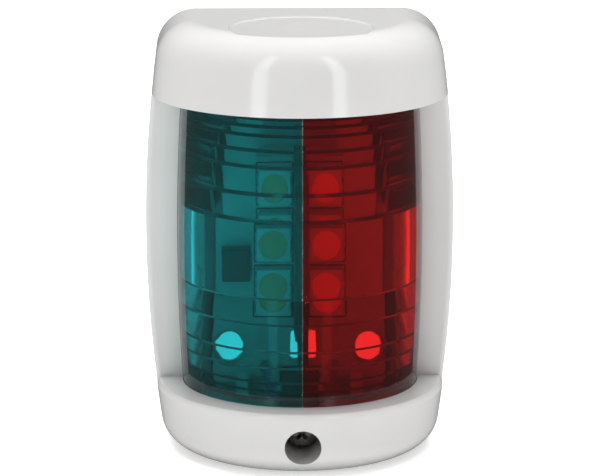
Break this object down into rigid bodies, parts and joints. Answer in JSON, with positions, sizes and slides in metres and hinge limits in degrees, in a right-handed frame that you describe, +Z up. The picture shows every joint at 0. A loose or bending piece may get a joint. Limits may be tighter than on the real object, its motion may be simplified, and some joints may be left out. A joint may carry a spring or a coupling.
{
  "type": "navigation light",
  "caption": "Bulkhead-mounted two-colour LED bow light: white cover with green and red prism lens halves, cover screw and rear cable.",
  "frame": {"origin": "centre of the rear mounting face, at mid height of the light", "axes": "+Z up, -Y the way the light shines, +X to the right as seen from the front (port, red side); +Y into the bulkhead"},
  "size_m": [0.0446, 0.0576, 0.0623],
  "materials": {
    "shell_white": "gloss",
    "lens_green": "clear tinted",
    "lens_red": "clear tinted",
    "bond_clear": "clear",
    "sealant": "matt",
    "base_white": "satin",
    "rubber_black": "matt",
    "foam_grey": "matt",
    "board_white": "satin",
    "divider_black": "matt",
    "pedestal_white": "satin",
    "steel": "bright",
    "led_white": "matt",
    "phosphor": "gel",
    "tinned": "bright",
    "epoxy_black": "matt",
    "resistor_black": "glazed",
    "pvc_black": "satin",
    "pvc_blue": "satin",
    "pvc_red": "satin"
  },
  "bodies": {
    "base": {"base_plate": "base_white", "perimeter_seal": "rubber_black", "mounting_gasket": "foam_grey", "board_surround": "rubber_black", "circuit_board": "board_white", "board_screws": "steel", "led_pedestal": "pedestal_white", "sector_divider": "divider_black", "led_board_starboard": "board_white", "led_board_port": "board_white", "led_bodies_starboard": "led_white", "led_bodies_port": "led_white", "led_phosphor_starboard": "phosphor", "led_phosphor_port": "phosphor", "led_leads_starboard": "tinned", "led_leads_port": "tinned", "bridge_rectifier": "epoxy_black", "rectifier_legs": "tinned", "chip_resistors": "resistor_black", "resistor_terminals": "tinned", "cable_grommet": "rubber_black", "cable_sheath": "pvc_black", "core_positive": "pvc_red", "core_negative": "pvc_blue", "tinned_ends": "tinned", "solder_joints": "tinned"},
    "cover": {"housing_shell": "shell_white", "lens_starboard_green": "lens_green", "lens_port_red": "lens_red", "lens_bond_line": "bond_clear", "lens_sealant": "sealant"},
    "screw_ring": {"screw_seal_ring": "rubber_black"},
    "screw": {"cover_screw": "steel"}
  },
  "joints": [
    {"name": "cover_release", "type": "slide", "parent": "base", "child": "cover", "axis": [0, -1, 0], "range_m": [0, 0.04]},
    {"name": "screw_travel", "type": "slide", "parent": "cover", "child": "screw_ring", "axis": [0, -1, 0], "range_m": [0, 0.009]},
    {"name": "screw_turn", "type": "hinge", "parent": "screw_ring", "child": "screw", "pos_m": [0, -0.0211, -0.0267], "axis": [0, -1, 0], "range_deg": [0, 2945.5]}
  ],
  "couplings": [
    {"joint": "screw_turn", "follows": "screw_travel", "rad_per_m": 5712}
  ]
}
